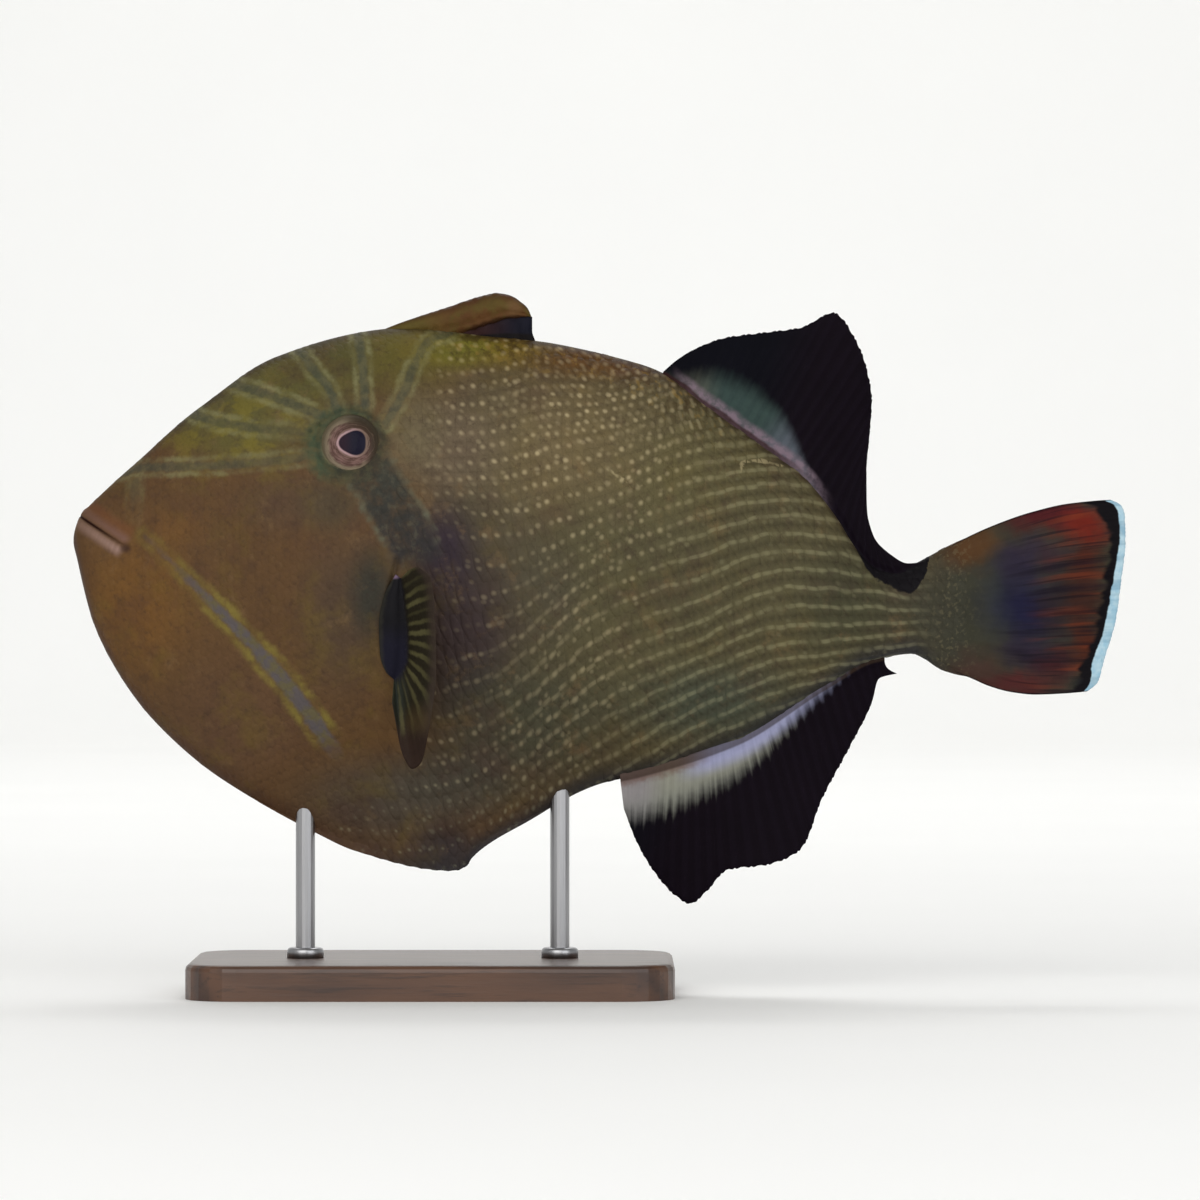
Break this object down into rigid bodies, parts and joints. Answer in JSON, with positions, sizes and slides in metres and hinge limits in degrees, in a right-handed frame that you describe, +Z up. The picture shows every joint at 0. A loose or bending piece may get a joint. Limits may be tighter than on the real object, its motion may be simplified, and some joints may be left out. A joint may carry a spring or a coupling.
{
  "type": "indian triggerfish",
  "caption": "Deep, flat-sided reef fish as a still life-size museum model, head to the left, fins spread, held over a plain flat base by two short rods.",
  "frame": {"origin": "middle of the overall box, at the level of the stand's underside", "axes": "+X runs from the snout to the tail, +Z up, the fish's left side faces -Y"},
  "size_m": [0.2401, 0.0702, 0.1597],
  "materials": {
    "head_skin": "satin scaled skin, orange-brown on the cheek, olive on the forehead",
    "flank_skin": "satin scaled skin, olive-grey with rows of pale dots and lines",
    "flap_skin": "satin brown skin",
    "spine_skin": "rough brown spine with a navy web",
    "dark_fin": "satin, near black",
    "tail_fin": "satin, navy middle, red-orange lobes, pale blue edge",
    "clear_fin": "thin olive-yellow membrane with rays",
    "eye": "polished, brownish pink iris with a dark pupil",
    "stand_wood": "dark stained, satin",
    "stand_steel": "brushed"
  },
  "bodies": {
    "root": {"head": "head_skin", "trunk": "flank_skin", "tail_stalk": "flank_skin", "pelvic_flap": "flap_skin", "first_dorsal_fin": "spine_skin", "soft_dorsal_fin": "dark_fin", "anal_fin": "dark_fin", "caudal_fin": "tail_fin", "pectoral_fin_left": "clear_fin", "pectoral_fin_right": "clear_fin", "eye_left": "eye", "eye_right": "eye", "stand_base": "stand_wood", "stand_rod_front": "stand_steel", "stand_rod_back": "stand_steel"}
  },
  "joints": []
}
